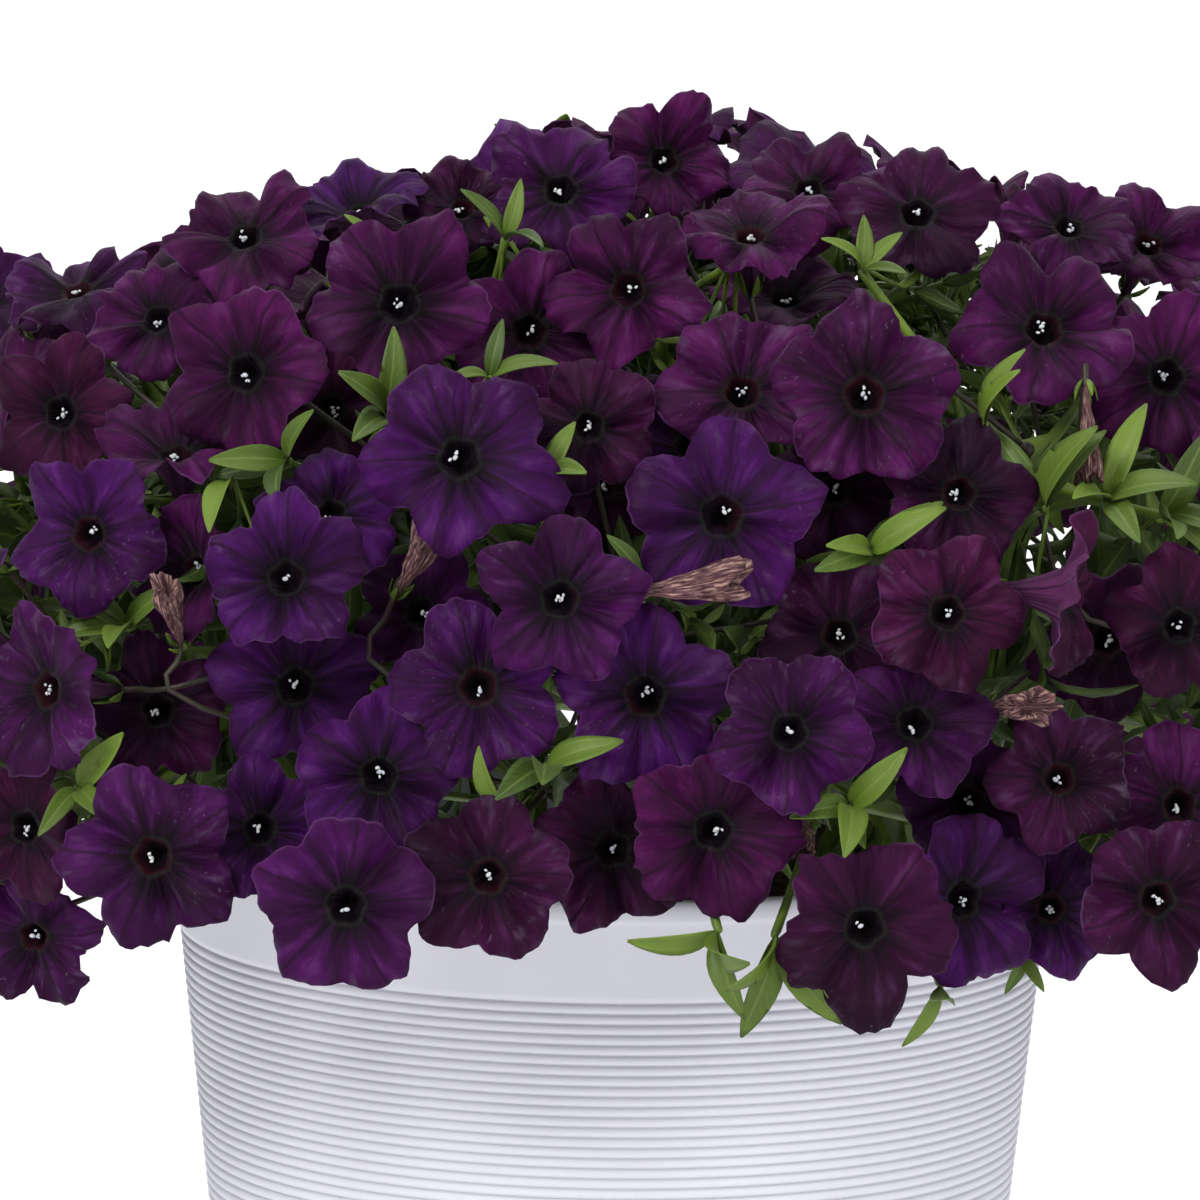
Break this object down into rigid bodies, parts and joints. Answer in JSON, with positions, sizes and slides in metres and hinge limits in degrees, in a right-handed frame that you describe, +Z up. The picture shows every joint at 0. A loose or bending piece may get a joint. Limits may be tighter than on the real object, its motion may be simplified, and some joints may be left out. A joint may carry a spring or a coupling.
{
  "type": "potted spreading petunia",
  "caption": "Spreading petunia in a round ribbed pot: a broad mound of dark purple trumpet blooms on leafy green stems over a tapered pale plastic pot filled with soil.",
  "frame": {"origin": "centre of the pot's flat base, on the floor that it stands on", "axes": "+Z up along the pot's axis, -Y toward the side that the picture shows, +X to that side's right"},
  "size_m": [0.6089, 0.5471, 0.5364],
  "materials": {
    "pot_plastic": "satin",
    "potting_soil": "matte",
    "green_stem": "satin",
    "purple_petal": "matte"
  },
  "bodies": {
    "root": {"pot": "pot_plastic", "soil": "potting_soil", "stem_01": "green_stem", "stem_02": "green_stem", "stem_03": "green_stem", "stem_04": "green_stem", "stem_05": "green_stem", "stem_06": "green_stem", "stem_07": "green_stem", "stem_08": "green_stem", "stem_09": "green_stem", "stem_10": "green_stem", "stem_11": "green_stem", "stem_12": "green_stem", "spray_01": "purple_petal", "spray_02": "purple_petal", "spray_03": "purple_petal", "spray_04": "purple_petal", "spray_05": "purple_petal", "spray_06": "purple_petal", "spray_07": "purple_petal", "spray_08": "purple_petal", "spray_09": "purple_petal", "spray_10": "purple_petal", "spray_11": "purple_petal", "spray_12": "purple_petal", "spray_13": "purple_petal", "spray_14": "purple_petal", "spray_15": "purple_petal", "spray_16": "purple_petal", "spray_17": "purple_petal", "spray_18": "purple_petal", "spray_19": "purple_petal", "spray_20": "purple_petal", "spray_21": "purple_petal", "spray_22": "purple_petal", "spray_23": "purple_petal", "spray_24": "purple_petal", "spray_25": "purple_petal", "spray_26": "purple_petal", "spray_27": "purple_petal", "spray_28": "purple_petal", "spray_29": "purple_petal", "spray_30": "purple_petal", "spray_31": "purple_petal", "spray_32": "purple_petal", "spray_33": "purple_petal", "spray_34": "purple_petal", "spray_35": "purple_petal", "spray_36": "purple_petal", "spray_37": "purple_petal", "spray_38": "purple_petal", "spray_39": "purple_petal", "spray_40": "purple_petal", "spray_41": "purple_petal", "spray_42": "purple_petal", "spray_43": "purple_petal", "spray_44": "purple_petal", "spray_45": "purple_petal", "spray_46": "purple_petal"}
  },
  "joints": []
}
